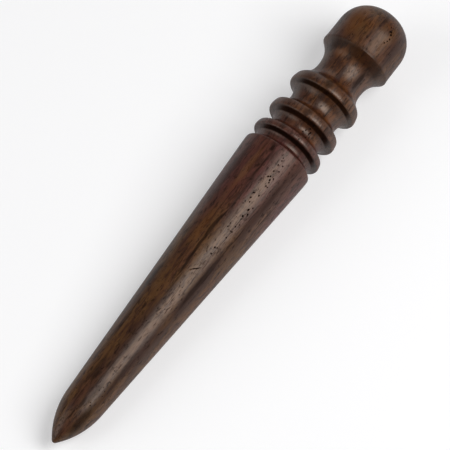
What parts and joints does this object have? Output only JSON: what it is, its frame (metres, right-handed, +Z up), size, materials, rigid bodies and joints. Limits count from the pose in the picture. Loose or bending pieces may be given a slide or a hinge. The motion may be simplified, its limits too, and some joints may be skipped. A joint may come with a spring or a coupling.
{
  "type": "turned wooden edge slicker",
  "caption": "Round hardwood hand tool turned in one piece: blunt point, long taper, beaded grooves, waisted neck and round knob.",
  "frame": {"origin": "bottom centre of the bounding box, on the flat surface that the taper lies on", "axes": "+X along the stick towards the knob, with the point at -X; +Z up, square to the surface; the turning axis rises 2.95 degrees towards +X"},
  "size_m": [0.1648, 0.0224, 0.0242],
  "materials": {
    "rosewood": "satin oiled dark rosewood, open pores, grain along the length"
  },
  "bodies": {
    "root": {"slicker_body": "rosewood"}
  },
  "joints": []
}
